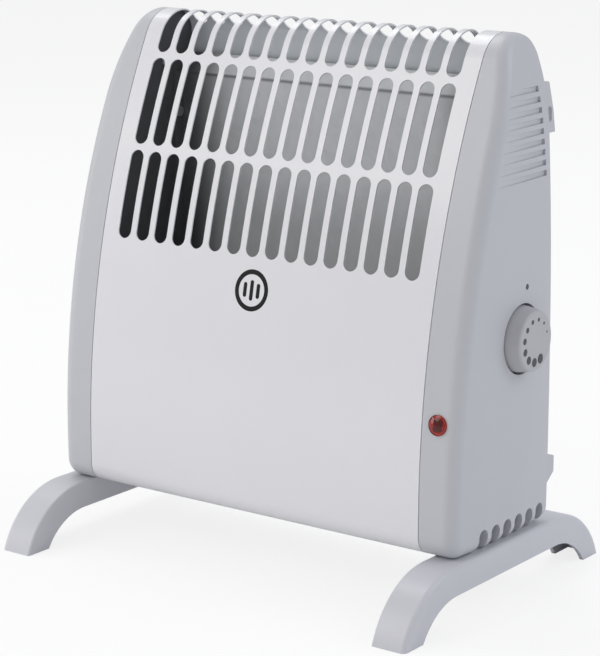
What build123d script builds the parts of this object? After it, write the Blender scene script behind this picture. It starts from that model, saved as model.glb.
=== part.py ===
from build123d import *
import math
import os

# Sizes are millimetres. X runs across the heater, Y from its front to its back, and Z up.
# The origin is on the floor, midway between the two feet.

# Casing section, seen from the side
casing_bottom = 32.4
casing_top = 299.3
front_reach = 48.5
rear_reach = 45.0
front_bend_start = 55.0
front_radius = 510.0
crest_radius = 22.0
rear_bend_start = 170.0
rear_radius = 1650.0
bottom_front_radius = 11.0
bottom_rear_radius = 9.0

# Sheet metal
sheet = 0.8
sheet_gap = 0.3
panel_half_width = 112.8
seam_gap = 0.5
fit_clearance = 0.05
hem_depth = 14.0
wrap_end_height = 257.0
butt_gap = 0.5
joint_lap = 10.0
tongue_foot = 6.0
panel_cut = 6.0

# Outlet slots of the front panel
slot_columns = 16
slot_pitch = 13.0
slot_width = 9.2
slot_length = 50.5
slot_row_gap = 3.5
slot_field_bottom = 175.5
crest_slot_length = 51.9

# Intake slots of the rear panel and the bottom plate
intake_length = 44.0
intake_width = 5.0
intake_columns = 4
intake_rows = 6
intake_column_pitch = 52.0
intake_row_pitch = 11.0
intake_middle = 84.0
floor_slot_length = 40.0
floor_slot_width = 6.0
floor_slot_columns = 12
floor_slot_pitch = 14.0

# End caps
cap_reach = 136.6
cap_crown_radius = 600.0
cap_crown_centre = 0.0
cap_barrel_radius = 4500.0
cap_barrel_height = 95.0
cap_bend_start = 250.0
cap_bend_radius = 130.0
cap_edge_radius = 7.5
cap_wall = 2.2
spigot_length = 6.0
spigot_wall = 1.8
cap_screw_places = [(-30.0, 60.0), (28.0, 60.0), (16.0, 270.0), (-24.0, 162.0)]
cap_boss_bite = 0.9

# Grooves moulded in each cap's side, topmost first
groove_count = 9
groove_pitch = 5.6
groove_top = 270.2
groove_height = 3.0
groove_depth = 1.4
groove_front_end = 2.7
groove_front_step = 1.75
groove_rear_end = 34.3
groove_rear_step = 0.7

# Intake vents round each cap's bottom edge
vent_count = 6
vent_pitch = 11.5
vent_width = 8.0
vent_top = 44.5
vent_first = -21.0
vent_root = 127.0

# Wall lugs and stand-offs behind each cap
lug_face = 129.2
lug_thickness = 2.6
lug_bottom = 245.0
lug_top = 272.5
lug_tip = 54.8
lug_elbow = 52.6
lug_elbow_height = 257.0
lug_shoulder = 47.6
lug_corner = 1.5
lug_hole_height = 8.8
lug_hole_width = 4.6
lug_hole_inset = 6.1
lug_hole_rise = 9.8
standoff_face = 134.0
standoff_width = 13.0
standoff_tip = 54.0
standoff_top = 70.5
standoff_nose_top = 67.0
standoff_nose_bottom = 59.0
standoff_bottom = 51.5
standoff_corner = 1.2

# Feet
foot_width = 20.6
foot_outer_face = 138.4
foot_half_length = 98.2
foot_leg = 17.0
foot_arch = 17.0
foot_shoulder = 52.0
foot_knee = 50.0
foot_wall = 2.4
foot_edge_radius = 3.0
foot_inner_edge_radius = 1.0
foot_boss_radius = 5.0
foot_seat_height = 24.0
foot_rib = 1.6
foot_rib_bottom = 20.0
foot_rib_spacing = 52.0
foot_screw_x = 124.0
foot_screw_y = 26.0
foot_boss_rise = 8.0

# Thermostat and its knob
knob_y = 14.0
knob_z = 140.6
knob_face = 144.4
knob_face_radius = 16.2
knob_base_radius = 18.4
knob_well_clearance = 0.7
knob_wall = 1.8
knob_floor_gap = 1.0
knob_face_edge = 1.6
stem_radius = 5.5
well_floor = 131.0
well_floor_thickness = 2.0
well_wall = 2.0
dot_count = 10
dot_circle_radius = 11.4
dot_first_angle = 15.8
dot_step_angle = 31.0
dot_smallest = 0.65
dot_largest = 2.7
dot_depth = 0.3
pointer_angle = 80.6
pointer_distance = 27.6
pointer_radius = 1.6
spindle_radius = 3.0
spindle_clearance = 0.05
spindle_flat = 0.8
bush_radius = 5.0
bush_proud = 5.0
nut_across_flats = 14.0
nut_thickness = 2.6
thermostat_length = 30.0
thermostat_height = 26.0
thermostat_depth = 14.0
thermostat_corner = 2.0
thermostat_bore_depth = 10.0
spade_width = 6.3
spade_thickness = 0.8
spade_length = 6.0

# Pilot lamp
pilot_x = 122.4
pilot_distance = 50.0
pilot_lens_radius = 6.2
pilot_flange = 1.0
pilot_dome = 1.6
pilot_barrel_radius = 4.8
pilot_hole_clearance = 0.2
pilot_barrel_length = 16.0
pilot_barrel_wall = 1.0
pilot_boss_depth = 3.6
pilot_clip_radius = 7.4
pilot_clip_thickness = 0.8

# Heating element
element_y = -4.0
element_z = 118.0
element_radius = 4.25
element_overhang = 9.0
element_pin_radius = 1.5
element_pin_length = 8.0
fin_count = 26
fin_pitch = 7.6
fin_thickness = 0.5
fin_depth = 34.0
fin_height = 46.0
fin_corner = 4.0
bush_flange_radius = 8.5
bush_flange_thickness = 2.5
bush_body_radius = 6.2
bush_body_length = 5.0

# Reflector in front of the rear panel
reflector_y = 30.0
reflector_bottom = 128.0
reflector_top = 263.0
reflector_lip_rise = 10.5
reflector_lip_back = 8.0
reflector_side_flange = 7.0
reflector_sheet = 0.6
flange_rivet_heights = (150.0, 240.0)

# Side plates
plate_sheet = 1.0
plate_window_depth = 28.0
plate_window_height = 26.0
plate_window_y = -1.0
plate_window_z = 60.0
plate_window_corner = 3.0

# Thermal cut-out on the reflector
cutout_x = 80.0
cutout_z = 148.0
cutout_radius = 8.0
cutout_length = 8.0
cutout_flange_length = 34.0
cutout_flange_width = 10.0

# Supply entry in the left cap, terminal block and earth stud
inlet_x = 124.0
inlet_z = 95.0
inlet_bore_radius = 3.5
inlet_neck_radius = 6.0
inlet_flange_radius = 8.0
inlet_bead_radius = 7.2
inlet_flange = 2.0
terminal_x = 93.0
terminal_width = 20.0
terminal_length = 34.0
terminal_height = 14.0
terminal_corner = 1.5
terminal_ways = 3
terminal_pitch = 10.0
terminal_bore_radius = 2.0
terminal_well_radius = 2.4
earth_y = 14.0
earth_z = 92.0
earth_radius = 2.0
earth_length = 13.0
earth_nut_across_flats = 7.0
earth_nut_thickness = 3.2

# Fasteners
screw_shank_radius = 1.75
screw_hole_radius = 1.85
screw_clear_radius = 2.1
screw_head_radius = 3.5
screw_head_height = 1.8
boss_radius = 4.0
cap_screw_length = 14.0
foot_screw_length = 20.0
panel_screw_length = 6.0
panel_screw_places = (-90.0, -30.0, 30.0, 90.0)
hem_screw_places = (-60.0, 60.0)
rivet_radius = 1.6
rivet_head_radius = 3.0
rivet_head = 1.0

# Where the casing's arcs meet
front_centre_y = front_radius - front_reach
rear_centre_y = rear_reach - rear_radius
crest_z = casing_top - crest_radius
front_turn = math.asin((crest_z - front_bend_start) / (front_radius - crest_radius))
crest_y = front_centre_y - (front_radius - crest_radius) * math.cos(front_turn)
across = crest_y - rear_centre_y
rise = casing_top - rear_bend_start
shoulder_radius = (rear_radius**2 - across**2 - rise**2) / (2 * (rear_radius - rise))
shoulder_z = casing_top - shoulder_radius
rear_turn = math.asin((shoulder_z - rear_bend_start) / (rear_radius - shoulder_radius))
front_length = front_radius * front_turn
crest_length = crest_radius * (math.pi / 2 - front_turn)

seam_x = panel_half_width + seam_gap
spigot_end = seam_x - spigot_length
spigot_inset = sheet + sheet_gap
plate_inner = spigot_end - plate_sheet

# Where the side of the caps bends over towards the top, about their upright axis
crown_axis_x = cap_reach - cap_crown_radius
barrel_centre = cap_crown_radius - cap_barrel_radius
bend_turn = math.asin((cap_bend_start - cap_barrel_height) / cap_barrel_radius)
bend_centre = barrel_centre + (cap_barrel_radius - cap_bend_radius) * math.cos(bend_turn)
bend_height = cap_barrel_height + (cap_barrel_radius - cap_bend_radius) * math.sin(bend_turn)


def casing_section(inset=0.0):
    # The whole section, each wall moved inwards by the inset
    corner_z = casing_bottom + bottom_rear_radius
    front_corner_z = casing_bottom + bottom_front_radius
    front_degrees = math.degrees(front_turn)
    rear_degrees = math.degrees(rear_turn)
    with BuildSketch(mode=Mode.PRIVATE) as section:
        with BuildLine():
            front = CenterArc((front_centre_y, front_bend_start), front_radius - inset, 180, -front_degrees)
            CenterArc((crest_y, crest_z), crest_radius - inset, 180 - front_degrees, front_degrees - 90)
            CenterArc((crest_y, shoulder_z), shoulder_radius - inset, 90, rear_degrees - 90)
            rear = CenterArc((rear_centre_y, rear_bend_start), rear_radius - inset, rear_degrees, -rear_degrees)
            rear_corner = CenterArc(
                (rear_reach - bottom_rear_radius, corner_z), bottom_rear_radius - inset, 0, -90
            )
            front_corner = CenterArc(
                (bottom_front_radius - front_reach, front_corner_z), bottom_front_radius - inset, -90, -90
            )
            Line(rear @ 1, rear_corner @ 0)
            Line(rear_corner @ 1, front_corner @ 0)
            Line(front_corner @ 1, front @ 0)
        make_face()
    return section.sketch


def casing_band(outer_inset, inner_inset):
    with BuildSketch(mode=Mode.PRIVATE) as band:
        add(casing_section(outer_inset))
        add(casing_section(inner_inset), mode=Mode.SUBTRACT)
    return band.sketch


def skin_plane(distance, x=0.0):
    # A plane on the casing's skin, its normal pointing out, its distance counted
    # up the front from where the bend starts, over the crest and down the back
    if distance <= front_length:
        centre, radius = (front_centre_y, front_bend_start), front_radius
        angle = math.pi - distance / front_radius
    elif distance <= front_length + crest_length:
        centre, radius = (crest_y, crest_z), crest_radius
        angle = math.pi - front_turn - (distance - front_length) / crest_radius
    else:
        centre, radius = (crest_y, shoulder_z), shoulder_radius
        angle = math.pi / 2 - (distance - front_length - crest_length) / shoulder_radius
    out = Vector(0, math.cos(angle), math.sin(angle))
    foot_point = Vector(x, centre[0], centre[1]) + out * radius
    return Plane(origin=foot_point, x_dir=(1, 0, 0), z_dir=out)


def rear_plane(height, x=0.0):
    # The same on the rear wall, at a height
    angle = math.asin(max(0.0, height - rear_bend_start) / rear_radius)
    out = Vector(0, math.cos(angle), math.sin(angle))
    reach = rear_centre_y + rear_radius * math.cos(angle)
    return Plane(origin=(x, reach, height), x_dir=(1, 0, 0), z_dir=out)


def bend_edge(inset=0.0):
    # Height at which the cap's barrel-shaped side turns into its bend
    return cap_barrel_height + (cap_barrel_radius - inset) * math.sin(bend_turn)


def side_radius(z, inset=0.0):
    # Radius of the cap's side about its own upright axis, at a height
    if z <= bend_edge(inset):
        barrel = cap_barrel_radius - inset
        return barrel_centre + math.sqrt(barrel**2 - (z - cap_barrel_height) ** 2)
    bend = cap_bend_radius - inset
    return bend_centre + math.sqrt(bend**2 - (z - bend_height) ** 2)


def side_x(y, z):
    # Reach of the cap's side at a place on it
    return crown_axis_x + math.sqrt(side_radius(z) ** 2 - (y - cap_crown_centre) ** 2)


def mirrored(part, label):
    copy = mirror(part, about=Plane.YZ)
    copy.label = label
    return copy


os.makedirs("parts", exist_ok=True)


# Front panel: one sheet, from its hem under the casing, up the front and over the crest
panel_screw_height = wrap_end_height + joint_lap / 2
front_hem_middle = bottom_front_radius - front_reach + hem_depth / 2
rear_hem_middle = rear_reach - bottom_rear_radius - hem_depth / 2
hem_end = bottom_front_radius - front_reach + hem_depth
wrap_split = [
    (hem_end, casing_bottom - sheet),
    (rear_reach + sheet, casing_bottom - sheet),
    (rear_reach + sheet, wrap_end_height),
    (crest_y, wrap_end_height),
    (hem_end, casing_bottom + 3 * sheet),
]
slot_start = front_radius * math.asin((slot_field_bottom - front_bend_start) / front_radius)
slot_step = slot_length + slot_row_gap
crest_row_start = slot_start + 2 * slot_step

with BuildPart() as crest_slot:
    first_end = skin_plane(crest_row_start + slot_width / 2)
    last_end = skin_plane(crest_row_start + crest_slot_length - slot_width / 2)
    sector = []
    for end in (first_end, last_end):
        inner = end.origin - end.z_dir * panel_cut
        outer = end.origin + end.z_dir * panel_cut
        sector.append([(inner.Y, inner.Z), (outer.Y, outer.Z)])
        with BuildSketch(end):
            Circle(slot_width / 2)
        extrude(amount=panel_cut, both=True)
    above = casing_top + panel_cut
    with BuildSketch(Plane.YZ):
        Polygon(
            sector[0][0],
            sector[0][1],
            (sector[0][1][0], above),
            (sector[1][1][0], above),
            sector[1][1],
            sector[1][0],
            align=None,
        )
    extrude(amount=slot_width / 2, both=True)

with BuildPart() as front_panel:
    with BuildSketch(Plane.YZ.offset(-panel_half_width)):
        add(casing_band(0, sheet))
    extrude(amount=2 * panel_half_width)
    with BuildSketch(Plane.YZ):
        Polygon(*wrap_split, align=None)
    extrude(amount=panel_half_width + sheet, both=True, mode=Mode.SUBTRACT)
    for row in range(2):
        middle = slot_start + row * slot_step + slot_length / 2
        with BuildSketch(skin_plane(middle)):
            with GridLocations(slot_pitch, 1, slot_columns, 1):
                SlotOverall(slot_length, slot_width, rotation=90)
        extrude(amount=panel_cut, both=True, mode=Mode.SUBTRACT)
    with GridLocations(slot_pitch, 1, slot_columns, 1):
        add(crest_slot.part, mode=Mode.SUBTRACT)
    for x in panel_screw_places:
        with BuildSketch(rear_plane(panel_screw_height, x)):
            Circle(screw_clear_radius)
        extrude(amount=panel_cut, both=True, mode=Mode.SUBTRACT)
    with BuildSketch(Plane.XY.offset(casing_bottom)):
        with Locations(*[(x, front_hem_middle) for x in hem_screw_places]):
            Circle(screw_clear_radius)
    extrude(amount=sheet, mode=Mode.SUBTRACT)
front_panel.part.label = "front_panel"
export_step(front_panel.part, "parts/front_panel.step")

# Rear panel: flush with the wrap, with a tongue that laps under its end
rear_hem_end = rear_reach - bottom_rear_radius - hem_depth
rear_split = [
    (rear_hem_end, casing_bottom - sheet),
    (rear_hem_end, casing_bottom + 3 * sheet),
    (crest_y, wrap_end_height - butt_gap),
    (rear_reach + sheet, wrap_end_height - butt_gap),
    (rear_reach + sheet, casing_bottom - sheet),
]
tongue_foot_height = wrap_end_height - butt_gap - tongue_foot
tongue_half_width = plate_inner - sheet_gap

with BuildPart() as tongue:
    with BuildSketch(Plane.YZ.offset(-tongue_half_width)):
        add(casing_band(sheet, 2 * sheet))
    extrude(amount=2 * tongue_half_width)
    with BuildSketch(Plane.YZ.offset(-panel_half_width)):
        with Locations((rear_reach, tongue_foot_height)):
            Rectangle(rear_reach, tongue_foot + butt_gap + joint_lap, align=(Align.CENTER, Align.MIN))
    extrude(amount=2 * panel_half_width, mode=Mode.INTERSECT)

with BuildPart() as rear_panel:
    with BuildSketch(Plane.YZ.offset(-panel_half_width)):
        add(casing_band(0, sheet))
    extrude(amount=2 * panel_half_width)
    with BuildSketch(Plane.YZ.offset(-panel_half_width - sheet)):
        Polygon(*rear_split, align=None)
    extrude(amount=2 * (panel_half_width + sheet), mode=Mode.INTERSECT)
    add(tongue.part)
    with BuildSketch(Plane.XZ.offset(-rear_reach)):
        with Locations((0, intake_middle)):
            with GridLocations(intake_column_pitch, intake_row_pitch, intake_columns, intake_rows):
                SlotOverall(intake_length, intake_width)
    extrude(amount=panel_cut, both=True, mode=Mode.SUBTRACT)
    for x in panel_screw_places:
        with BuildSketch(rear_plane(panel_screw_height, x)):
            Circle(screw_hole_radius)
        extrude(amount=panel_cut, both=True, mode=Mode.SUBTRACT)
    with BuildSketch(Plane.XY.offset(casing_bottom)):
        with Locations(*[(x, rear_hem_middle) for x in hem_screw_places]):
            Circle(screw_clear_radius)
    extrude(amount=sheet, mode=Mode.SUBTRACT)
rear_panel.part.label = "rear_panel"
export_step(rear_panel.part, "parts/rear_panel.step")


# End caps: a moulded cover, crowned both ways, with rounded front, top and bottom edges,
# hollow towards the casing, and a spigot that the sheets lap over
crown_top = casing_top + sheet
far_back = rear_reach + 2 * cap_edge_radius


def cap_blank(inset):
    # The solid outer form, or with an inset the hollow inside it
    back = far_back - inset
    top = casing_top - inset
    bottom = casing_bottom + inset
    bend = bend_edge(inset)
    axis_foot = Vector(crown_axis_x, cap_crown_centre, 0)
    heights = (0, bend / 2, bend, (bend + crown_top) / 2, crown_top)
    low, swell, turn, shoulder, high = [(side_radius(z, inset), z) for z in heights]
    with BuildPart() as crown:
        with BuildSketch(Plane(origin=axis_foot, x_dir=(1, 0, 0), z_dir=(0, -1, 0))):
            with BuildLine():
                ThreePointArc(low, swell, turn)
                ThreePointArc(turn, shoulder, high)
                Polyline(high, (0, crown_top), (0, 0), low)
            make_face()
        revolve(axis=Axis(axis_foot, (0, 0, 1)))
    with BuildPart() as blank:
        with BuildSketch(Plane.YZ.offset(seam_x)):
            add(casing_section(inset))
            with BuildLine():
                Polyline((crest_y, bottom), (back, bottom), (back, top), (crest_y, top), close=True)
            make_face()
        extrude(amount=cap_reach)
        add(crown.part, mode=Mode.INTERSECT)
        side = blank.faces().filter_by(GeomType.TORUS).edges()
        rim = [edge for edge in side if edge.center().Y < back - 1 and abs(edge.center().Z - bend) > 1]
        fillet(rim, cap_edge_radius - inset)
        with BuildSketch(Plane.YZ.offset(seam_x)):
            add(casing_section(inset))
        extrude(amount=cap_reach, mode=Mode.INTERSECT)
    return blank.part


cap_form = cap_blank(0)
cap_hollow = cap_blank(cap_wall)

foot_screw_places = [(foot_screw_x, -foot_screw_y), (foot_screw_x, foot_screw_y)]
foot_boss_top = foot_seat_height + foot_screw_length + foot_boss_rise
vent_middle = vent_first + (vent_count - 1) * vent_pitch / 2

# Thick wall behind the vents, which leaves deep ribs between them
with BuildPart() as vent_block:
    with BuildSketch(Plane.YZ.offset(vent_root)):
        with Locations((vent_middle, casing_bottom)):
            Rectangle(
                vent_count * vent_pitch, vent_top + cap_wall - casing_bottom, align=(Align.CENTER, Align.MIN)
            )
    extrude(amount=cap_reach - vent_root)
    add(cap_form, mode=Mode.INTERSECT)

with BuildPart() as plain_cap:
    add(cap_form)
    add(cap_hollow, mode=Mode.SUBTRACT)
    add(vent_block.part)
    with BuildSketch(Plane.YZ.offset(spigot_end)):
        add(casing_band(spigot_inset, spigot_inset + spigot_wall))
    extrude(amount=spigot_length + cap_wall)

    # Screw bosses, four towards the side plate and two down to the foot
    for y, z in cap_screw_places:
        with BuildSketch(Plane.YZ.offset(spigot_end)):
            with Locations((y, z)):
                Circle(boss_radius)
        extrude(amount=side_x(y, z) - cap_wall + cap_boss_bite - spigot_end)
    with BuildSketch(Plane.YZ.offset(spigot_end)):
        with Locations(*cap_screw_places):
            Circle(screw_hole_radius)
    extrude(amount=cap_screw_length, mode=Mode.SUBTRACT)
    with BuildSketch(Plane.XY.offset(casing_bottom + cap_wall / 2)):
        with Locations(*foot_screw_places):
            Circle(boss_radius)
    extrude(amount=foot_boss_top - casing_bottom - cap_wall / 2)
    with BuildSketch(Plane.XY.offset(casing_bottom)):
        with Locations(*foot_screw_places):
            Circle(screw_hole_radius)
    extrude(amount=foot_seat_height + foot_screw_length + 1 - casing_bottom, mode=Mode.SUBTRACT)

    # Intake vents, round at the top, down the side and under the bottom edge
    vent_rise = vent_top - vent_width / 2
    for number in range(vent_count):
        y = vent_first + number * vent_pitch
        with BuildSketch(Plane.YZ.offset(vent_root)):
            with Locations((y, vent_rise)):
                Circle(vent_width / 2)
                Rectangle(vent_width, vent_rise - casing_bottom + 1, align=(Align.CENTER, Align.MAX))
        extrude(amount=cap_reach - vent_root, mode=Mode.SUBTRACT)

    # Grooves that start flush behind the rounded front edge and deepen towards the back
    for number in range(groove_count):
        z = groove_top - number * groove_pitch
        start = groove_front_end - number * groove_front_step
        end = groove_rear_end + number * groove_rear_step
        middle = (start + end) / 2
        near = (side_x(start, z), start)
        halfway = (side_x(middle, z) - groove_depth / 2, middle)
        far = (side_x(end, z) - groove_depth, end)
        with BuildSketch(Plane.XY.offset(z - groove_height / 2)):
            with BuildLine():
                ThreePointArc(near, halfway, far)
                Polyline(far, (cap_reach + 1, end), (cap_reach + 1, start), near)
            make_face()
        extrude(amount=groove_height, mode=Mode.SUBTRACT)

    # Wall lug with its slotted hole
    lug_root = rear_reach - 2 * cap_wall
    with BuildSketch(Plane.YZ.offset(lug_face - lug_thickness)) as lug:
        Polygon(
            (lug_root, lug_bottom),
            (lug_tip, lug_bottom),
            (lug_elbow, lug_elbow_height),
            (lug_shoulder, lug_top),
            (lug_root, lug_top),
            align=None,
        )
        fillet(lug.vertices().group_by(Axis.Y)[-1], lug_corner)
        fillet([corner for corner in lug.vertices() if abs(corner.Y - lug_shoulder) < lug_corner], lug_corner)
        with Locations((lug_tip - lug_hole_inset, lug_bottom + lug_hole_rise)):
            SlotOverall(lug_hole_height, lug_hole_width, rotation=90, mode=Mode.SUBTRACT)
    extrude(amount=lug_thickness)

    # Stand-off that keeps the heater clear of a wall
    standoff_root = rear_reach - cap_wall / 2
    with BuildSketch(Plane.YZ.offset(standoff_face - standoff_width)):
        Polygon(
            (standoff_root, standoff_bottom),
            (standoff_tip, standoff_nose_bottom),
            (standoff_tip, standoff_nose_top),
            (standoff_root, standoff_top),
            align=None,
        )
    extrude(amount=standoff_width)
    nose = plain_cap.faces().filter_by(Axis.Y).sort_by(Axis.Y)[-1]
    fillet(nose.edges(), standoff_corner)

# The right-hand cap adds the knob's well, the pointer mark and the lamp's hole
knob_centre = (knob_y, knob_z)
well_radius = knob_base_radius + knob_well_clearance
well_back = well_floor - well_floor_thickness
pointer_y = knob_y + pointer_distance * math.cos(math.radians(pointer_angle))
pointer_z = knob_z + pointer_distance * math.sin(math.radians(pointer_angle))

with BuildPart() as well:
    with BuildSketch(Plane.YZ.offset(well_back)):
        with Locations(knob_centre):
            Circle(well_radius + well_wall)
    extrude(amount=cap_reach - well_back)
    add(cap_form, mode=Mode.INTERSECT)

pilot_place = skin_plane(pilot_distance, pilot_x)
with BuildPart() as lamp_boss:
    with BuildSketch(pilot_place.offset(-pilot_boss_depth)):
        Circle(pilot_clip_radius)
    extrude(amount=pilot_boss_depth)
    add(cap_form, mode=Mode.INTERSECT)

with BuildPart() as right_end_cap:
    add(plain_cap.part)
    add(well.part)
    add(lamp_boss.part)
    with BuildSketch(Plane.YZ.offset(well_floor)):
        with Locations(knob_centre):
            Circle(well_radius)
    extrude(amount=cap_reach - well_floor, mode=Mode.SUBTRACT)
    with BuildSketch(Plane.YZ.offset(well_back)):
        with Locations(knob_centre):
            Circle(bush_radius + fit_clearance)
    extrude(amount=well_floor_thickness, mode=Mode.SUBTRACT)
    with BuildSketch(Plane.YZ.offset(side_x(pointer_y, pointer_z) - dot_depth)):
        with Locations((pointer_y, pointer_z)):
            Circle(pointer_radius)
    extrude(amount=cap_wall, mode=Mode.SUBTRACT)
    with BuildSketch(pilot_place):
        Circle(pilot_barrel_radius + pilot_hole_clearance)
    extrude(amount=2 * pilot_boss_depth, both=True, mode=Mode.SUBTRACT)
right_end_cap.part.label = "right_end_cap"
export_step(right_end_cap.part, "parts/right_end_cap.step")

# The left-hand cap takes the supply entry in its rear wall
inlet_place = Plane(origin=(-inlet_x, rear_reach, inlet_z), x_dir=(-1, 0, 0), z_dir=(0, 1, 0))
with BuildPart() as left_end_cap:
    add(mirror(plain_cap.part, about=Plane.YZ))
    with BuildSketch(inlet_place):
        Circle(inlet_neck_radius + fit_clearance)
    extrude(amount=2 * cap_wall, both=True, mode=Mode.SUBTRACT)
left_end_cap.part.label = "left_end_cap"
export_step(left_end_cap.part, "parts/left_end_cap.step")

with BuildPart() as cord_grommet:
    with BuildSketch(inlet_place):
        Circle(inlet_flange_radius)
    extrude(amount=inlet_flange)
    fillet(cord_grommet.edges().group_by(Axis.Y)[-1], inlet_flange / 2)
    with BuildSketch(inlet_place):
        Circle(inlet_neck_radius)
    extrude(amount=-cap_wall)
    with BuildSketch(inlet_place.offset(-cap_wall)):
        Circle(inlet_bead_radius)
    extrude(amount=-inlet_flange)
    with BuildSketch(inlet_place):
        Circle(inlet_bore_radius)
    extrude(amount=2 * inlet_flange + cap_wall, both=True, mode=Mode.SUBTRACT)
cord_grommet.part.label = "cord_grommet"
export_step(cord_grommet.part, "parts/cord_grommet.step")


# Side plates: sheet bulkheads that close the casing's ends and carry the element
flange_rivet_y = reflector_y - reflector_side_flange / 2
flange_rivet_places = [(flange_rivet_y, height) for height in flange_rivet_heights]

with BuildPart() as side_plate:
    with BuildSketch(Plane.YZ.offset(plate_inner)):
        add(casing_section(spigot_inset))
        with Locations((element_y, element_z)):
            Circle(bush_body_radius + fit_clearance, mode=Mode.SUBTRACT)
        with Locations((plate_window_y, plate_window_z)):
            RectangleRounded(
                plate_window_depth, plate_window_height, radius=plate_window_corner, mode=Mode.SUBTRACT
            )
        with Locations(*cap_screw_places):
            Circle(screw_clear_radius, mode=Mode.SUBTRACT)
        with Locations(*flange_rivet_places):
            Circle(rivet_radius + fit_clearance, mode=Mode.SUBTRACT)
    extrude(amount=plate_sheet)
side_plate.part.label = "right_side_plate"
export_step(side_plate.part, "parts/right_side_plate.step")

earth_place = Plane(origin=(-plate_inner, earth_y, earth_z), x_dir=(0, 1, 0), z_dir=(-1, 0, 0))
with BuildPart() as left_side_plate:
    add(mirror(side_plate.part, about=Plane.YZ))
    with BuildSketch(earth_place):
        Circle(earth_radius + fit_clearance)
    extrude(amount=plate_sheet, mode=Mode.SUBTRACT)
left_side_plate.part.label = "left_side_plate"
export_step(left_side_plate.part, "parts/left_side_plate.step")

with BuildPart() as earth_stud:
    with BuildSketch(earth_place):
        Circle(screw_head_radius)
    extrude(amount=-screw_head_height)
    with BuildSketch(earth_place):
        Circle(earth_radius)
    extrude(amount=earth_length)
    chamfer(earth_stud.edges().group_by(Axis.X)[0], earth_radius / 4)
earth_stud.part.label = "earth_stud"
export_step(earth_stud.part, "parts/earth_stud.step")

with BuildPart() as earth_nut:
    with BuildSketch(earth_place.offset(plate_sheet)):
        RegularPolygon(earth_nut_across_flats / 2, 6, major_radius=False)
        Circle(earth_radius + fit_clearance, mode=Mode.SUBTRACT)
    extrude(amount=earth_nut_thickness)
earth_nut.part.label = "earth_nut"
export_step(earth_nut.part, "parts/earth_nut.step")


# Bottom plate: a slotted tray that rests on both hems
bottom_plate_top = casing_bottom + sheet + plate_sheet
bottom_plate_half_width = plate_inner - sheet_gap
bottom_plate_front = bottom_front_radius - front_reach + fit_clearance
bottom_plate_rear = rear_reach - bottom_rear_radius - fit_clearance

with BuildPart() as bottom_plate:
    with BuildSketch(Plane.XY.offset(casing_bottom + sheet)):
        Polygon(
            (-bottom_plate_half_width, bottom_plate_front),
            (bottom_plate_half_width, bottom_plate_front),
            (bottom_plate_half_width, bottom_plate_rear),
            (-bottom_plate_half_width, bottom_plate_rear),
            align=None,
        )
        with GridLocations(floor_slot_pitch, 1, floor_slot_columns, 1):
            SlotOverall(floor_slot_length, floor_slot_width, rotation=90, mode=Mode.SUBTRACT)
        for middle in (front_hem_middle, rear_hem_middle):
            with Locations(*[(x, middle) for x in hem_screw_places]):
                Circle(screw_hole_radius, mode=Mode.SUBTRACT)
    extrude(amount=plate_sheet)
bottom_plate.part.label = "bottom_plate"
export_step(bottom_plate.part, "parts/bottom_plate.step")

# Terminal block on the bottom plate, with a wire bore and a screw well for each way
with BuildPart() as terminal_block:
    with BuildSketch(Plane.XY.offset(bottom_plate_top)):
        with Locations((-terminal_x, 0)):
            RectangleRounded(terminal_width, terminal_length, radius=terminal_corner)
    extrude(amount=terminal_height)
    for way in range(terminal_ways):
        y = (way - (terminal_ways - 1) / 2) * terminal_pitch
        with BuildSketch(Plane.YZ.offset(-terminal_x - terminal_width)):
            with Locations((y, bottom_plate_top + terminal_height / 3)):
                Circle(terminal_bore_radius)
        extrude(amount=2 * terminal_width, mode=Mode.SUBTRACT)
        with BuildSketch(Plane.XY.offset(bottom_plate_top + terminal_height / 3)):
            with Locations((-terminal_x - terminal_width / 4, y), (-terminal_x + terminal_width / 4, y)):
                Circle(terminal_well_radius)
        extrude(amount=terminal_height, mode=Mode.SUBTRACT)
terminal_block.part.label = "terminal_block"
export_step(terminal_block.part, "parts/terminal_block.step")


# Reflector: a folded sheet behind the element, its flanges riveted to the side plates
lip_bend = reflector_sheet * math.tan(math.atan2(reflector_lip_back, reflector_lip_rise) / 2)
lip_length = math.hypot(reflector_lip_back, reflector_lip_rise)
lip_step_y = reflector_sheet * reflector_lip_rise / lip_length
lip_step_z = reflector_sheet * reflector_lip_back / lip_length
lip_y = reflector_y + reflector_lip_back
lip_z = reflector_top + reflector_lip_rise
cutout_rivet_x = (cutout_flange_length - cutout_flange_width) / 2
cutout_rivet_places = [(cutout_x - cutout_rivet_x, cutout_z), (cutout_x + cutout_rivet_x, cutout_z)]

with BuildPart() as reflector:
    with BuildSketch(Plane.YZ.offset(-plate_inner)):
        Polygon(
            (reflector_y, reflector_bottom),
            (reflector_y, reflector_top),
            (lip_y, lip_z),
            (lip_y + lip_step_y, lip_z - lip_step_z),
            (reflector_y + reflector_sheet, reflector_top - lip_bend),
            (reflector_y + reflector_sheet, reflector_bottom),
            align=None,
        )
    extrude(amount=2 * plate_inner)
    for start in (-plate_inner, plate_inner - reflector_sheet):
        with BuildSketch(Plane.YZ.offset(start)):
            with Locations((reflector_y + reflector_sheet, reflector_bottom)):
                Rectangle(
                    reflector_side_flange + reflector_sheet,
                    reflector_top - reflector_bottom,
                    align=(Align.MAX, Align.MIN),
                )
            with Locations(*flange_rivet_places):
                Circle(rivet_radius + fit_clearance, mode=Mode.SUBTRACT)
        extrude(amount=reflector_sheet)
    with BuildSketch(Plane.XZ.offset(-reflector_y)):
        with Locations(*cutout_rivet_places):
            Circle(rivet_radius + fit_clearance)
    extrude(amount=-2 * reflector_sheet, mode=Mode.SUBTRACT)
reflector.part.label = "reflector"
export_step(reflector.part, "parts/reflector.step")

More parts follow.
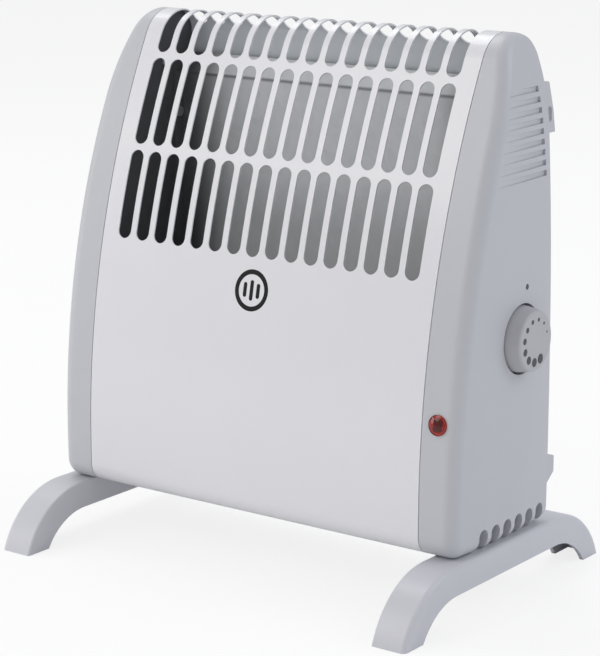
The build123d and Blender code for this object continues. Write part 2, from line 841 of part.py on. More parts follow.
# Thermal cut-out: a disc body on a riveted flange, with two terminals
with BuildPart() as thermal_cutout:
    with BuildSketch(Plane.XZ.offset(-reflector_y)):
        with Locations((cutout_x, cutout_z)):
            SlotOverall(cutout_flange_length, cutout_flange_width)
        with Locations(*cutout_rivet_places):
            Circle(rivet_radius + fit_clearance, mode=Mode.SUBTRACT)
    extrude(amount=plate_sheet)
    cutout_face = Plane.XZ.offset(plate_sheet - reflector_y)
    with BuildSketch(cutout_face):
        with Locations((cutout_x, cutout_z)):
            Circle(cutout_radius)
    extrude(amount=cutout_length)
    with BuildSketch(cutout_face.offset(cutout_length)):
        with Locations((cutout_x - spade_width / 2, cutout_z), (cutout_x + spade_width / 2, cutout_z)):
            Rectangle(spade_thickness, spade_width)
    extrude(amount=spade_length)
thermal_cutout.part.label = "thermal_cutout"
export_step(thermal_cutout.part, "parts/thermal_cutout.step")


# Heating element: a sheathed tube across the casing with a pin at each end
element_end = spigot_end + element_overhang
with BuildPart() as heating_element:
    with BuildSketch(Plane.YZ.offset(-element_end)):
        with Locations((element_y, element_z)):
            Circle(element_radius)
    extrude(amount=2 * element_end)
    with BuildSketch(Plane.YZ.offset(-element_end - element_pin_length)):
        with Locations((element_y, element_z)):
            Circle(element_pin_radius)
    extrude(amount=2 * (element_end + element_pin_length))
heating_element.part.label = "heating_element"
export_step(heating_element.part, "parts/heating_element.step")

# Fins threaded on the tube
with BuildPart() as element_fins:
    for number in range(fin_count):
        x = (number - (fin_count - 1) / 2) * fin_pitch
        with BuildSketch(Plane.YZ.offset(x - fin_thickness / 2)):
            with Locations((element_y, element_z)):
                RectangleRounded(fin_depth, fin_height, radius=fin_corner)
                Circle(element_radius + fit_clearance, mode=Mode.SUBTRACT)
        extrude(amount=fin_thickness)
element_fins.part.label = "element_fins"
export_step(element_fins.part, "parts/element_fins.step")

# Ceramic bushes that hold the tube in the side plates
with BuildPart() as element_bush:
    with BuildSketch(Plane.YZ.offset(spigot_end - bush_body_length)):
        with Locations((element_y, element_z)):
            Circle(bush_body_radius)
    extrude(amount=bush_body_length)
    with BuildSketch(Plane.YZ.offset(spigot_end)):
        with Locations((element_y, element_z)):
            Circle(bush_flange_radius)
    extrude(amount=bush_flange_thickness)
    with BuildSketch(Plane.YZ.offset(spigot_end - bush_body_length)):
        with Locations((element_y, element_z)):
            Circle(element_radius + fit_clearance)
    extrude(amount=bush_body_length + bush_flange_thickness, mode=Mode.SUBTRACT)
element_bush.part.label = "right_element_bush"
export_step(element_bush.part, "parts/right_element_bush.step")
export_step(mirrored(element_bush.part, "left_element_bush"), "parts/left_element_bush.step")


# Thermostat: body behind the well's floor, its threaded bush held by a nut
bush_end = well_floor + bush_proud
with BuildPart() as thermostat_body:
    with BuildSketch(Plane.YZ.offset(well_back)):
        with Locations(knob_centre):
            RectangleRounded(thermostat_length, thermostat_height, radius=thermostat_corner)
    extrude(amount=-thermostat_depth)
    with BuildSketch(Plane.YZ.offset(well_back)):
        with Locations(knob_centre):
            Circle(bush_radius)
    extrude(amount=bush_end - well_back)
    with BuildSketch(Plane.YZ.offset(bush_end)):
        with Locations(knob_centre):
            Circle(spindle_radius + spindle_clearance)
    extrude(amount=-(bush_end - well_back + thermostat_bore_depth), mode=Mode.SUBTRACT)
    with BuildSketch(Plane.YZ.offset(well_back - thermostat_depth)):
        with Locations((knob_y - thermostat_length / 4, knob_z), (knob_y + thermostat_length / 4, knob_z)):
            Rectangle(spade_thickness, spade_width)
    extrude(amount=-spade_length)
thermostat_body.part.label = "thermostat_body"
export_step(thermostat_body.part, "parts/thermostat_body.step")

with BuildPart() as thermostat_nut:
    with BuildSketch(Plane.YZ.offset(well_floor)):
        with Locations(knob_centre):
            RegularPolygon(nut_across_flats / 2, 6, major_radius=False)
            Circle(bush_radius + fit_clearance, mode=Mode.SUBTRACT)
    extrude(amount=nut_thickness)
thermostat_nut.part.label = "thermostat_nut"
export_step(thermostat_nut.part, "parts/thermostat_nut.step")

# Spindle with a flat where the knob grips it
spindle_start = well_back - thermostat_bore_depth + sheet_gap
stem_start = bush_end + sheet_gap
spindle_tip = knob_face - knob_wall - sheet_gap


def spindle_section(clearance):
    with BuildSketch(mode=Mode.PRIVATE) as section:
        with Locations(knob_centre):
            Circle(spindle_radius + clearance)
        with Locations((knob_y, knob_z + spindle_radius - spindle_flat + clearance)):
            Rectangle(3 * spindle_radius, 2 * spindle_radius, align=(Align.CENTER, Align.MIN), mode=Mode.SUBTRACT)
    return section.sketch


with BuildPart() as thermostat_spindle:
    with BuildSketch(Plane.YZ.offset(spindle_start)):
        with Locations(knob_centre):
            Circle(spindle_radius)
    extrude(amount=stem_start - spindle_start)
    with BuildSketch(Plane.YZ.offset(stem_start)):
        add(spindle_section(0))
    extrude(amount=spindle_tip - stem_start)
thermostat_spindle.part.label = "thermostat_spindle"
export_step(thermostat_spindle.part, "parts/thermostat_spindle.step")

# Knob: a hollow drafted cup with a stem, and a ring of growing dots sunk in its face
knob_back = well_floor + knob_floor_gap
with BuildPart() as thermostat_knob:
    with BuildSketch(Plane.YZ.offset(knob_back)):
        with Locations(knob_centre):
            Circle(knob_base_radius)
    with BuildSketch(Plane.YZ.offset(knob_face)):
        with Locations(knob_centre):
            Circle(knob_face_radius)
    loft()
    fillet(thermostat_knob.edges().group_by(Axis.X)[-1], knob_face_edge)
    with BuildSketch(Plane.YZ.offset(knob_back)):
        with Locations(knob_centre):
            Circle(knob_base_radius - knob_wall)
    with BuildSketch(Plane.YZ.offset(knob_face - knob_wall)):
        with Locations(knob_centre):
            Circle(knob_face_radius - knob_wall)
    loft(mode=Mode.SUBTRACT)
    with BuildSketch(Plane.YZ.offset(stem_start)):
        with Locations(knob_centre):
            Circle(stem_radius)
        add(spindle_section(spindle_clearance), mode=Mode.SUBTRACT)
    extrude(amount=knob_face - knob_wall - stem_start)
    for number in range(dot_count):
        angle = math.radians(dot_first_angle + number * dot_step_angle)
        dot_y = knob_y + dot_circle_radius * math.cos(angle)
        dot_z = knob_z + dot_circle_radius * math.sin(angle)
        with BuildSketch(Plane.YZ.offset(knob_face)):
            with Locations((dot_y, dot_z)):
                Circle(dot_smallest + (dot_largest - dot_smallest) * number / (dot_count - 1))
        extrude(amount=-dot_depth, mode=Mode.SUBTRACT)
thermostat_knob.part.label = "thermostat_knob"
export_step(thermostat_knob.part, "parts/thermostat_knob.step")


# Pilot lamp: a domed lens with a barrel through the cap, a lamp inside it and a spring clip
pilot_bore = pilot_barrel_radius - pilot_barrel_wall
dome_radius = (pilot_lens_radius**2 + pilot_dome**2) / (2 * pilot_dome)
dome_top = pilot_flange + pilot_dome
dome_rim = (pilot_lens_radius, pilot_flange)

with BuildPart() as pilot_lens:
    with BuildSketch(Plane.XZ):
        with BuildLine():
            RadiusArc(dome_rim, (0, dome_top), -dome_radius)
            Polyline(
                (0, dome_top),
                (0, 0),
                (pilot_bore, 0),
                (pilot_bore, -pilot_barrel_length),
                (pilot_barrel_radius, -pilot_barrel_length),
                (pilot_barrel_radius, 0),
                (pilot_lens_radius, 0),
                dome_rim,
            )
        make_face()
    revolve(axis=Axis.Z)
lens_part = pilot_place.location * pilot_lens.part
lens_part.label = "pilot_lens"
export_step(lens_part, "parts/pilot_lens.step")

with BuildPart() as neon_lamp:
    with BuildSketch(pilot_place.offset(-pilot_barrel_length)):
        Circle(pilot_bore - fit_clearance)
    extrude(amount=pilot_barrel_length - pilot_flange)
    fillet(neon_lamp.edges().group_by(Axis.Y)[0], pilot_bore / 2)
    with BuildSketch(pilot_place.offset(-pilot_barrel_length)):
        Circle(pilot_barrel_radius)
    extrude(amount=-2 * pilot_flange)
neon_lamp.part.label = "neon_lamp"
export_step(neon_lamp.part, "parts/neon_lamp.step")

with BuildPart() as pilot_clip:
    with BuildSketch(pilot_place.offset(-pilot_boss_depth)):
        Circle(pilot_clip_radius)
        Circle(pilot_barrel_radius + fit_clearance, mode=Mode.SUBTRACT)
    extrude(amount=-pilot_clip_thickness)
pilot_clip.part.label = "pilot_clip"
export_step(pilot_clip.part, "parts/pilot_clip.step")


# Feet: a moulded channel, open below, arched between its two legs
foot_back = foot_outer_face - foot_width
leg_inner = foot_half_length - foot_leg
arc_rise = foot_half_length - foot_shoulder
foot_arc_radius = (arc_rise**2 + casing_bottom**2) / (2 * casing_bottom)
foot_arc_centre = casing_bottom - foot_arc_radius
inner_end = foot_shoulder + math.sqrt((foot_arc_radius - foot_wall) ** 2 - foot_arc_centre**2)

with BuildPart() as foot:
    with BuildSketch(Plane.YZ.offset(foot_back)):
        with BuildLine():
            Line((0, casing_bottom), (foot_shoulder, casing_bottom))
            TangentArc((foot_shoulder, casing_bottom), (foot_half_length, 0), tangent=(1, 0))
            Line((foot_half_length, 0), (leg_inner, 0))
            TangentArc((foot_knee, foot_arch), (leg_inner, 0), tangent=(1, 0))
            Line((foot_knee, foot_arch), (0, foot_arch))
            Line((0, foot_arch), (0, casing_bottom))
        make_face()
        mirror(about=Plane.YZ)
    extrude(amount=foot_width)
    outer_rim = foot.faces().sort_by(Axis.X)[-1].edges()
    fillet([edge for edge in outer_rim if edge.bounding_box().max.Z > foot_arch + 1], foot_edge_radius)
    inner_rim = foot.faces().sort_by(Axis.X)[0].edges()
    fillet([edge for edge in inner_rim if edge.bounding_box().max.Z > foot_arch + 1], foot_inner_edge_radius)
    with BuildSketch(Plane.YZ.offset(foot_back + foot_wall)):
        with BuildLine():
            Line((0, casing_bottom - foot_wall), (foot_shoulder, casing_bottom - foot_wall))
            TangentArc((foot_shoulder, casing_bottom - foot_wall), (inner_end, 0), tangent=(1, 0))
            Polyline((inner_end, 0), (0, 0), (0, casing_bottom - foot_wall))
        make_face()
        mirror(about=Plane.YZ)
    extrude(amount=foot_width - 2 * foot_wall, mode=Mode.SUBTRACT)
    for y in (-foot_rib_spacing, 0, foot_rib_spacing):
        with BuildSketch(Plane.YZ.offset(foot_back + foot_wall / 2)):
            with Locations((y, casing_bottom - foot_wall / 2)):
                Rectangle(foot_rib, casing_bottom - foot_wall / 2 - foot_rib_bottom, align=(Align.CENTER, Align.MAX))
        extrude(amount=foot_width - foot_wall)
    with BuildSketch(Plane.XY.offset(foot_seat_height)):
        with Locations(*foot_screw_places):
            Circle(foot_boss_radius)
    extrude(amount=casing_bottom - foot_wall / 2 - foot_seat_height)
    with BuildSketch(Plane.XY.offset(foot_seat_height)):
        with Locations(*foot_screw_places):
            Circle(screw_clear_radius)
    extrude(amount=casing_bottom - foot_seat_height, mode=Mode.SUBTRACT)
foot.part.label = "right_foot"
export_step(foot.part, "parts/right_foot.step")
export_step(mirrored(foot.part, "left_foot"), "parts/left_foot.step")


# Fasteners, each made on its seat: a head outside it and a shank through it
def screw(seat, length):
    with BuildPart() as body:
        with BuildSketch(seat):
            Circle(screw_head_radius)
        extrude(amount=screw_head_height)
        fillet(body.edges().sort_by(Axis(seat.origin, seat.z_dir))[-1], screw_head_height / 2)
        with BuildSketch(seat):
            Circle(screw_shank_radius)
        extrude(amount=-length)
    return body.part


def rivet(seat, grip):
    with BuildPart() as body:
        with BuildSketch(seat, seat.offset(-grip - rivet_head)):
            Circle(rivet_head_radius)
        extrude(amount=rivet_head)
        with BuildSketch(seat):
            Circle(rivet_radius)
        extrude(amount=-grip)
    return body.part


def group(solids, name):
    whole = Compound(label=name, children=solids)
    export_step(whole, f"parts/{name}.step")


cap_screws = []
foot_screws = []
rivets = []
for side in (-1, 1):
    for y, z in cap_screw_places:
        seat = Plane(origin=(side * plate_inner, y, z), x_dir=(0, 1, 0), z_dir=(-side, 0, 0))
        cap_screws.append(screw(seat, cap_screw_length))
    for x, y in foot_screw_places:
        seat = Plane(origin=(side * x, y, foot_seat_height), x_dir=(1, 0, 0), z_dir=(0, 0, -1))
        foot_screws.append(screw(seat, foot_screw_length))
    for y, z in flange_rivet_places:
        flange_face = side * (plate_inner - reflector_sheet)
        seat = Plane(origin=(flange_face, y, z), x_dir=(0, 1, 0), z_dir=(-side, 0, 0))
        rivets.append(rivet(seat, reflector_sheet + plate_sheet))
for x, z in cutout_rivet_places:
    seat = Plane(origin=(x, reflector_y - plate_sheet, z), x_dir=(1, 0, 0), z_dir=(0, -1, 0))
    rivets.append(rivet(seat, reflector_sheet + plate_sheet))
group(cap_screws, "cap_screws")
group(foot_screws, "foot_screws")
group(rivets, "rivets")

panel_screws = [screw(rear_plane(panel_screw_height, x), panel_screw_length) for x in panel_screw_places]
for x in hem_screw_places:
    for y in (front_hem_middle, rear_hem_middle):
        seat = Plane(origin=(x, y, casing_bottom), x_dir=(1, 0, 0), z_dir=(0, 0, -1))
        panel_screws.append(screw(seat, panel_screw_length))
group(panel_screws, "panel_screws")
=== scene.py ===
import bpy
import bmesh
import math
from mathutils import Euler, Matrix, Vector


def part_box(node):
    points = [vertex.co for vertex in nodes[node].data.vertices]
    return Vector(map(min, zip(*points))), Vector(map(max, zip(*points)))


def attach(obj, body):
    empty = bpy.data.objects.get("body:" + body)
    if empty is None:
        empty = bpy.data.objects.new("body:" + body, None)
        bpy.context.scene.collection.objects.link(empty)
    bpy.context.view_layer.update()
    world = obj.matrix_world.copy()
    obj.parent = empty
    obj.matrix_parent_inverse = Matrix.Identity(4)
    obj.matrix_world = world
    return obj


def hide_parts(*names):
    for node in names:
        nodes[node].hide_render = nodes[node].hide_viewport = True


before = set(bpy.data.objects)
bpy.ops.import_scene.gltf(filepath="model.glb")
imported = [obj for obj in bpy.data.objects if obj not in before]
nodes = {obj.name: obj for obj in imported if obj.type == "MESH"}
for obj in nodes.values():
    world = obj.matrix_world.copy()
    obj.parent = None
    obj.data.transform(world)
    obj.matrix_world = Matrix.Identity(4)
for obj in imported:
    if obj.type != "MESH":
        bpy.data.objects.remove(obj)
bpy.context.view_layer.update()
print("frame loaded:", len(nodes), "nodes")

mm = 0.001
steep = 0.9  # least upward share of the normal of a face that counts as facing up or down


# small helpers

def deselectAll():
    bpy.ops.object.select_all(action="DESELECT")


def activate(piece):
    deselectAll()
    piece.select_set(True)
    bpy.context.view_layer.objects.active = piece


def applyPlace(piece):  # the place goes into the mesh, as on a CAD node
    activate(piece)
    bpy.ops.object.transform_apply(location=True, rotation=True, scale=True)


def joinPieces(pieces, name):
    activate(pieces[0])
    for piece in pieces:
        piece.select_set(True)
    bpy.ops.object.join()
    joined = bpy.context.view_layer.objects.active
    joined.name = name
    return joined


def pickFaces(piece, wanted):  # selects faces by their centre and normal, and stays in edit mode
    activate(piece)
    bpy.ops.object.mode_set(mode="EDIT")
    bpy.ops.mesh.select_mode(type="FACE")
    bpy.ops.mesh.select_all(action="DESELECT")
    form = bmesh.from_edit_mesh(piece.data)
    for face in form.faces:
        face.select_set(wanted(face.calc_center_median(), face.normal))
    bmesh.update_edit_mesh(piece.data)


def facesUp(centre, normal):
    return normal.z > steep


def facesDown(centre, normal):
    return normal.z < -steep


def everyFace(centre, normal):
    return True


def leaveEdit():
    bpy.ops.object.mode_set(mode="OBJECT")


def applyModifier(piece, modifier):
    activate(piece)
    bpy.ops.object.modifier_apply(modifier=modifier.name)


def addCylinder(radius, height, vertices, base=0.0):  # upright, its lower end at the base height
    deselectAll()
    middle = (base + height / 2) * mm
    bpy.ops.mesh.primitive_cylinder_add(
        vertices=vertices, radius=radius * mm, depth=height * mm, location=(0, 0, middle)
    )
    piece = bpy.context.object
    applyPlace(piece)
    return piece


def smoothBelow(degrees):
    bpy.ops.object.shade_smooth_by_angle(angle=math.radians(degrees))


def insetBy(thickness, depth=0.0):
    bpy.ops.mesh.inset(thickness=thickness * mm, depth=depth * mm)


def pushBy(distance):
    bpy.ops.mesh.extrude_region_move(TRANSFORM_OT_translate={"value": (0, 0, distance * mm)})


def bevelEdges(offset, segments):
    bpy.ops.mesh.bevel(offset=offset * mm, segments=segments, affect="EDGES")


def placedCopy(source, place, outward, roll=0.0):  # a copy with its own mesh, its +Z turned outward
    copy = source.copy()
    copy.data = source.data.copy()
    bpy.context.collection.objects.link(copy)
    turn = Vector(outward).to_track_quat("Z", "Y").to_matrix().to_4x4()
    copy.matrix_world = Matrix.Translation(place) @ turn @ Matrix.Rotation(roll, 4, "Z")
    applyPlace(copy)
    return copy


def dress(piece, finish, body, slot, *replaced):
    piece.data.materials.clear()
    piece.data.materials.append(finish)
    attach(piece, body)
    if replaced:
        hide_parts(*replaced)


# materials

noiseRange = (0.3, 0.7)  # most of what a noise texture gives lies in here


def feed(tree, socket, value):  # another node's output is linked, anything else is set
    if isinstance(value, bpy.types.NodeSocket):
        tree.links.new(value, socket)
    else:
        socket.default_value = value


def newFinish(name):
    finish = bpy.data.materials.new(name)
    finish.use_nodes = True
    tree = finish.node_tree
    shader = tree.nodes["Principled BSDF"]
    place = tree.nodes.new("ShaderNodeTexCoord")
    return finish, tree, shader, place


def noiseAt(tree, place, scale, detail=3.0, stretch=(1, 1, 1)):
    mapping = tree.nodes.new("ShaderNodeMapping")
    mapping.inputs["Scale"].default_value = stretch
    tree.links.new(place.outputs["Object"], mapping.inputs["Vector"])
    noise = tree.nodes.new("ShaderNodeTexNoise")
    noise.inputs["Scale"].default_value = scale
    noise.inputs["Detail"].default_value = detail
    tree.links.new(mapping.outputs["Vector"], noise.inputs["Vector"])
    return noise


def ramp(tree, value, start, end, low=0, high=1, soft=False):  # low at start and high at end
    ranger = tree.nodes.new("ShaderNodeMapRange")
    if soft:
        ranger.interpolation_type = "SMOOTHSTEP"
    ranger.inputs["From Min"].default_value = start
    ranger.inputs["From Max"].default_value = end
    ranger.inputs["To Min"].default_value = low
    ranger.inputs["To Max"].default_value = high
    tree.links.new(value, ranger.inputs["Value"])
    return ranger.outputs["Result"]


def spread(tree, noise, low=0, high=1):  # a noise's middle range, spread from low to high
    return ramp(tree, noise.outputs["Fac"], *noiseRange, low, high)


def bumpFrom(tree, shader, noise, strength, distance):
    bump = tree.nodes.new("ShaderNodeBump")
    bump.inputs["Strength"].default_value = strength
    bump.inputs["Distance"].default_value = distance
    tree.links.new(noise.outputs["Fac"], bump.inputs["Height"])
    tree.links.new(bump.outputs["Normal"], shader.inputs["Normal"])


def roughenFrom(tree, shader, noise, limits):
    tree.links.new(spread(tree, noise, *limits), shader.inputs["Roughness"])


def mixColours(tree, shader, share, first, second):  # the first where share is 0
    mix = tree.nodes.new("ShaderNodeMix")
    mix.data_type = "RGBA"
    feed(tree, mix.inputs["A"], first)
    feed(tree, mix.inputs["B"], second)
    tree.links.new(share, mix.inputs["Factor"])
    tree.links.new(mix.outputs["Result"], shader.inputs["Base Color"])


def tintFrom(tree, shader, share, colour, change):  # colour that drifts a little over the surface
    faded = [channel * (1 - change) for channel in colour]
    mixColours(tree, shader, share, (*colour, 1), (*faded, 1))


def recolour(tree, shader, share, colour):  # lays a second colour over the first where share is 1
    first = shader.inputs["Base Color"].links[0].from_socket
    mixColours(tree, shader, share, first, (*colour, 1))


def mathNode(tree, operation, first, second=0.5):
    node = tree.nodes.new("ShaderNodeMath")
    node.operation = operation
    feed(tree, node.inputs[0], first)
    feed(tree, node.inputs[1], second)
    return node.outputs["Value"]


def vectorNode(tree, operation, first, second):
    node = tree.nodes.new("ShaderNodeVectorMath")
    node.operation = operation
    feed(tree, node.inputs[0], first)
    feed(tree, node.inputs[1], second)
    return node.outputs["Value" if operation == "DOT_PRODUCT" else "Vector"]


def coatedSheet(name, look):  # sprayed enamel: a fine orange peel under a low gloss
    finish, tree, shader, place = newFinish(name)
    drift = noiseAt(tree, place, look["driftScale"])
    tintFrom(tree, shader, spread(tree, drift), look["colour"], look["drift"])
    gloss = noiseAt(tree, place, look["glossScale"])
    roughenFrom(tree, shader, gloss, look["roughness"])
    peel = noiseAt(tree, place, look["peelScale"], 2.0)
    bumpFrom(tree, shader, peel, look["peelStrength"], look["peelDepth"])
    shader.inputs["Coat Weight"].default_value = look["coat"]
    shader.inputs["Coat Roughness"].default_value = look["coatRoughness"]
    return finish


def mouldedPlastic(name, look):  # injection moulding: fine eroded grain and slow flow marks
    finish, tree, shader, place = newFinish(name)
    flow = noiseAt(tree, place, look["flowScale"], 2.0, look["flowStretch"])
    tintFrom(tree, shader, spread(tree, flow), look["colour"], look["flow"])
    gloss = noiseAt(tree, place, look["glossScale"])
    roughenFrom(tree, shader, gloss, look["roughness"])
    grain = noiseAt(tree, place, look["grainScale"], 2.0)
    bumpFrom(tree, shader, grain, look["grainStrength"], look["grainDepth"])
    shader.inputs["Specular IOR Level"].default_value = look["specular"]
    return finish


def spangledMetal(name, look):  # zinc coat: crystals of slightly different brightness
    finish, tree, shader, place = newFinish(name)
    crystals = tree.nodes.new("ShaderNodeTexVoronoi")
    crystals.inputs["Scale"].default_value = look["crystalScale"]
    tree.links.new(place.outputs["Object"], crystals.inputs["Vector"])
    shades = tree.nodes.new("ShaderNodeSeparateColor")
    tree.links.new(crystals.outputs["Color"], shades.inputs["Color"])
    tintFrom(tree, shader, shades.outputs["Red"], look["colour"], look["contrast"])
    haze = noiseAt(tree, place, look["hazeScale"])
    roughenFrom(tree, shader, haze, look["roughness"])
    bumpFrom(tree, shader, haze, look["hazeStrength"], look["hazeDepth"])
    shader.inputs["Metallic"].default_value = look["metallic"]
    return finish


def turnedMetal(name, look):  # rolled or turned stock with fine lines along one way
    finish, tree, shader, place = newFinish(name)
    lines = noiseAt(tree, place, look["lineScale"], 2.0, look["lineStretch"])
    tintFrom(tree, shader, spread(tree, lines), look["colour"], look["contrast"])
    roughenFrom(tree, shader, lines, look["roughness"])
    bumpFrom(tree, shader, lines, look["lineStrength"], look["lineDepth"])
    shader.inputs["Metallic"].default_value = look["metallic"]
    return finish


def clearMoulding(name, look):  # tinted clear plastic
    finish, tree, shader, place = newFinish(name)
    shader.inputs["Base Color"].default_value = (*look["colour"], 1)
    shader.inputs["Transmission Weight"].default_value = look["clear"]
    shader.inputs["IOR"].default_value = look["index"]
    ripple = noiseAt(tree, place, look["rippleScale"])
    roughenFrom(tree, shader, ripple, look["roughness"])
    return finish


def primedInside(finish, look):  # the sheets' inner sides, which face the middle of the casing
    tree = finish.node_tree
    place = tree.nodes["Texture Coordinate"]
    inward = vectorNode(tree, "SUBTRACT", look["middle"], place.outputs["Object"])
    flat = vectorNode(tree, "MULTIPLY", inward, (0, 1, 1))
    facing = vectorNode(tree, "DOT_PRODUCT", flat, place.outputs["Normal"])
    share = mathNode(tree, "GREATER_THAN", facing, look["least"])
    recolour(tree, tree.nodes["Principled BSDF"], share, look["colour"])
    return finish


def paintedReflectorShading(finish, look):  # painted light low down, painted shadow along the fold and painted shade at both ends
    tree = finish.node_tree
    shader = tree.nodes["Principled BSDF"]
    place = tree.nodes.new("ShaderNodeSeparateXYZ")
    tree.links.new(tree.nodes["Texture Coordinate"].outputs["Object"], place.inputs["Vector"])
    height = place.outputs["Z"]
    # painted light: a near-white colour low on the sheet brightens its lower part
    recolour(tree, shader, ramp(tree, height, *look["low"], soft=True), look["bright"])
    fromFold = mathNode(tree, "ABSOLUTE", mathNode(tree, "SUBTRACT", height, look["fold"]))
    # painted shadow: a dark band along the fold under the lip
    recolour(tree, shader, ramp(tree, fromFold, look["foldHalf"], 0, soft=True), look["paintedFoldShadow"])
    distance = mathNode(tree, "ABSOLUTE", place.outputs["X"])
    # painted shade and painted reflection: the sheet darkens towards both ends, next to the dark
    # side plates
    recolour(tree, shader, ramp(tree, distance, *look["ends"], soft=True), look["paintedEndShade"])
    return finish


enamelLook = {
    "colour": (0.80, 0.80, 0.82), "driftScale": 14, "drift": 0.015,
    "roughness": (0.30, 0.36), "glossScale": 40,
    "peelScale": 900, "peelStrength": 0.12, "peelDepth": 0.00008,
    "coat": 0.35, "coatRoughness": 0.12,
}
capLook = {
    "colour": (0.565, 0.575, 0.60), "flowScale": 16, "flowStretch": (1, 1, 0.35), "flow": 0.025,
    "roughness": (0.36, 0.44), "glossScale": 55,
    "grainScale": 2600, "grainStrength": 0.16, "grainDepth": 0.00006, "specular": 0.5,
}
footLook = dict(capLook, colour=(0.635, 0.64, 0.675), roughness=(0.30, 0.38))
knobLook = dict(capLook, colour=(0.50, 0.495, 0.515), roughness=(0.42, 0.5))
phenolicLook = dict(capLook, colour=(0.022, 0.022, 0.024), roughness=(0.45, 0.6), flow=0.15)
ceramicLook = dict(capLook, colour=(0.78, 0.75, 0.69), roughness=(0.6, 0.75), flow=0.06)
rubberLook = dict(capLook, colour=(0.028, 0.028, 0.028), roughness=(0.7, 0.85), flow=0.1)
zincLook = {
    "colour": (0.62, 0.635, 0.65), "crystalScale": 170, "contrast": 0.10,
    "hazeScale": 90, "hazeStrength": 0.15, "hazeDepth": 0.00005,
    "roughness": (0.42, 0.55), "metallic": 0.4,
}
reflectorLook = dict(
    zincLook, colour=(0.70, 0.715, 0.725), metallic=0.3, roughness=(0.38, 0.46), contrast=0.05
)
# painted shade: the side plates get a near-black colour in place of the shade that falls on them
# inside the casing
paintedShadeBulkheadLook = dict(zincLook, colour=(0.085, 0.088, 0.093), metallic=0.2, roughness=(0.5, 0.65))
primer = {"middle": (0, 0, 0.15), "least": 0.01, "colour": (0.60, 0.63, 0.65)}
# colours and heights of the painted light, painted fold shadow and painted end shade on the
# reflector
reflectorShadingPaint = {
    "low": (0.205, 0.150), "bright": (0.97, 0.97, 0.98),
    "fold": 0.2622, "foldHalf": 0.0016, "paintedFoldShadow": (0.27, 0.28, 0.285),
    "ends": (0.066, 0.103), "paintedEndShade": (0.13, 0.134, 0.14),
}
sheathLook = {
    "colour": (0.20, 0.18, 0.17), "contrast": 0.4,
    "lineScale": 60, "lineStretch": (0.2, 6, 6), "lineStrength": 0.2, "lineDepth": 0.00002,
    "roughness": (0.4, 0.6), "metallic": 0.8,
}
finLook = dict(sheathLook, colour=(0.62, 0.63, 0.64), contrast=0.1, roughness=(0.3, 0.42))
brassLook = dict(sheathLook, colour=(0.66, 0.48, 0.20), contrast=0.1, roughness=(0.25, 0.35))
platedLook = dict(sheathLook, colour=(0.52, 0.52, 0.50), contrast=0.12, roughness=(0.28, 0.4))
lensLook = {
    "colour": (0.80, 0.05, 0.025), "clear": 0.93, "index": 1.49,
    "rippleScale": 300, "roughness": (0.04, 0.09),
}
inkLook = dict(capLook, colour=(0.085, 0.088, 0.095), roughness=(0.5, 0.6), flow=0.1)
markLook = dict(inkLook, colour=(0.006, 0.006, 0.007), specular=0.25)
coreLook = dict(capLook, colour=(0.05, 0.02, 0.02), roughness=(0.6, 0.7), flow=0.1, specular=0.2)
washerLook = dict(capLook, colour=(0.9, 0.5, 0.35), roughness=(0.3, 0.4))

finishes = {
    "enamel": primedInside(coatedSheet("whiteEnamel", enamelLook), primer),
    "cap": mouldedPlastic("greyMoulding", capLook),
    "foot": mouldedPlastic("footMoulding", footLook),
    "knob": mouldedPlastic("knobMoulding", knobLook),
    "phenolic": mouldedPlastic("blackPhenolic", phenolicLook),
    "ceramic": mouldedPlastic("ceramic", ceramicLook),
    "rubber": mouldedPlastic("blackRubber", rubberLook),
    "zinc": spangledMetal("zincSheet", zincLook),
    # the reflector carries painted light and painted shade, the side plates painted shade
    "reflector": paintedReflectorShading(spangledMetal("reflectorSheet", reflectorLook), reflectorShadingPaint),
    "bulkhead": spangledMetal("bulkheadPaintedShade", paintedShadeBulkheadLook),
    "sheath": turnedMetal("elementSheath", sheathLook),
    "fin": turnedMetal("aluminiumFin", finLook),
    "brass": turnedMetal("brass", brassLook),
    "plated": turnedMetal("zincPlate", platedLook),
    "lens": clearMoulding("redLens", lensLook),
    "ink": mouldedPlastic("greyInk", inkLook),
    "mark": mouldedPlastic("blackInk", markLook),
    "core": mouldedPlastic("lampCore", coreLook),
    "washer": mouldedPlastic("lampWasher", washerLook),
}

nodeFinishes = {
    "enamel": ["front_panel", "rear_panel"],
    "cap": ["left_end_cap", "right_end_cap"],
    "foot": ["left_foot", "right_foot"],
    "knob": ["thermostat_knob"],
    "phenolic": ["thermostat_body", "thermal_cutout", "neon_lamp"],
    "ceramic": ["left_element_bush", "right_element_bush", "terminal_block"],
    "rubber": ["cord_grommet"],
    "zinc": ["bottom_plate"],
    "reflector": ["reflector"],
    "bulkhead": ["left_side_plate", "right_side_plate"],
    "sheath": ["heating_element"],
    "fin": ["element_fins", "rivets"],
    "brass": ["thermostat_spindle", "earth_stud", "earth_nut"],
    "plated": ["thermostat_nut", "pilot_clip", "cap_screws", "foot_screws", "panel_screws"],
    "lens": ["pilot_lens"],
}
for finishName, nodeNames in nodeFinishes.items():
    for nodeName in nodeNames:
        mesh = nodes[nodeName].data
        mesh.materials.clear()
        mesh.materials.append(finishes[finishName])
print("materials:", len(finishes))


# knob dots and pointer: ink in the shallow recesses of the knob and of the right cap

dots = {"count": 10, "circle": 11.4, "first": 15.8, "step": 31.0, "smallest": 0.65, "largest": 2.7}
inkFill = {"thickness": 0.22, "recess": 0.3, "sideGap": 0.02, "rim": 0.08, "smooth": 50}
pointer = {"place": (135.46, 18.51, 167.83), "outward": (1, 0.031, 0.016), "radius": 1.6}


def inkPad(radius, place, outward):  # a printed spot with a soft rim
    pad = addCylinder(radius - inkFill["sideGap"], inkFill["thickness"], 40)
    pickFaces(pad, facesUp)
    bevelEdges(inkFill["rim"], 2)
    leaveEdit()
    smoothBelow(inkFill["smooth"])
    placed = placedCopy(pad, place, outward)
    bpy.data.objects.remove(pad)
    return placed


